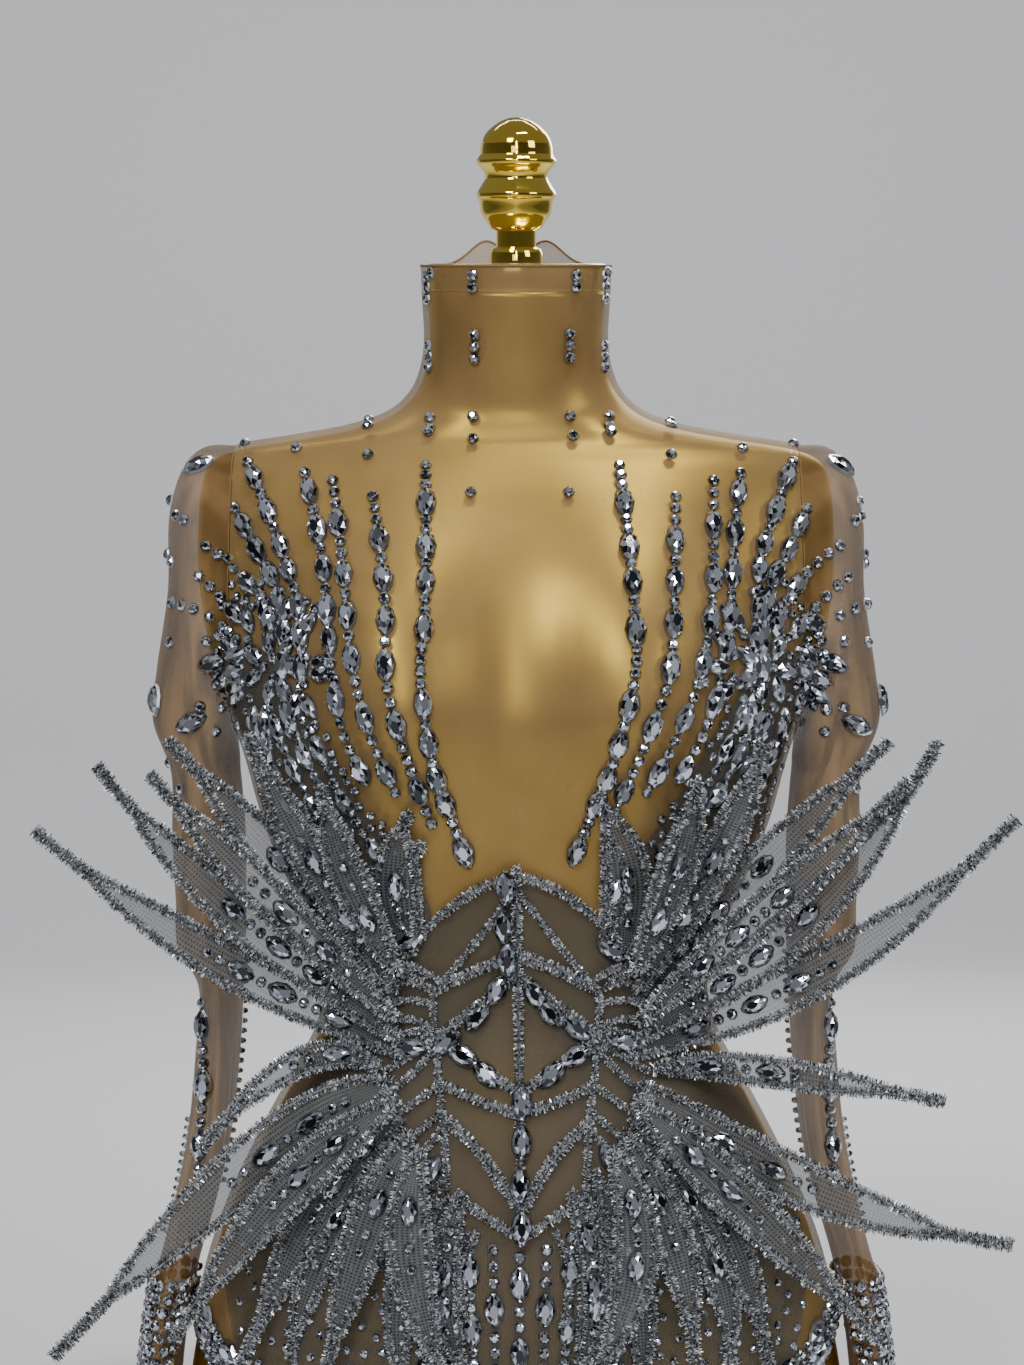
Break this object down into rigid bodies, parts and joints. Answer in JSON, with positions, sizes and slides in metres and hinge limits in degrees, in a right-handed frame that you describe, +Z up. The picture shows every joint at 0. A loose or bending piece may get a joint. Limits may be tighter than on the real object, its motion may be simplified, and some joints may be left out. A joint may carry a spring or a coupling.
{
  "type": "stage bodysuit on a dress form",
  "caption": "High-necked long-sleeved mesh bodysuit with stone lines and tinsel-edged waist fins, on a limbless polished dress form.",
  "frame": {"origin": "on the surface that the form stands on, under the middle of the part", "axes": "+X to the right of the picture, +Y from the front to the back, +Z up"},
  "size_m": [0.5479, 0.2564, 0.8347],
  "materials": {
    "skin_mesh": "fine sheer stretch mesh",
    "tulle": "grey net",
    "tinsel": "silver tinsel cord",
    "crystal": "foil-backed cut stones",
    "form_gold": "polished gold plating",
    "cap_gold": "mirror-polished gold plating",
    "zip_tape": "skin-tone coil",
    "zip_metal": "lacquered metal"
  },
  "bodies": {
    "garment_and_form": {"bodysuit_front": "skin_mesh", "bodysuit_back_left": "skin_mesh", "bodysuit_back_right": "skin_mesh", "gusset": "skin_mesh", "sleeve_left": "skin_mesh", "sleeve_right": "skin_mesh", "zip_coil": "zip_tape", "zip_slider": "zip_metal", "form_torso": "form_gold", "form_cap": "cap_gold", "form_finial": "cap_gold", "fin_upper_left_1": "tinsel", "fin_upper_left_2": "tinsel", "fin_upper_left_3": "tinsel", "fin_upper_left_4": "tinsel", "fin_upper_left_5": "tinsel", "fin_upper_left_6": "tinsel", "fin_upper_left_7": "tinsel", "fin_upper_right_1": "tinsel", "fin_upper_right_2": "tinsel", "fin_upper_right_3": "tinsel", "fin_upper_right_4": "tinsel", "fin_upper_right_5": "tinsel", "fin_upper_right_6": "tinsel", "fin_upper_right_7": "tinsel", "fin_lower_left_1": "tinsel", "fin_lower_left_2": "tinsel", "fin_lower_left_3": "tinsel", "fin_lower_left_4": "tinsel", "fin_lower_left_5": "tinsel", "fin_lower_left_6": "tinsel", "fin_lower_right_1": "tinsel", "fin_lower_right_2": "tinsel", "fin_lower_right_3": "tinsel", "fin_lower_right_4": "tinsel", "fin_lower_right_5": "tinsel", "fin_lower_right_6": "tinsel", "centre_lattice": "tinsel"},
    "zip_pull_tab": {"zip_pull": "zip_metal"}
  },
  "joints": [
    {"name": "zip_pull_swing", "type": "hinge", "parent": "garment_and_form", "child": "zip_pull_tab", "pos_m": [0, 0.04857, 0.74211], "axis": [1, 0, 0], "range_deg": [0, 150]}
  ]
}
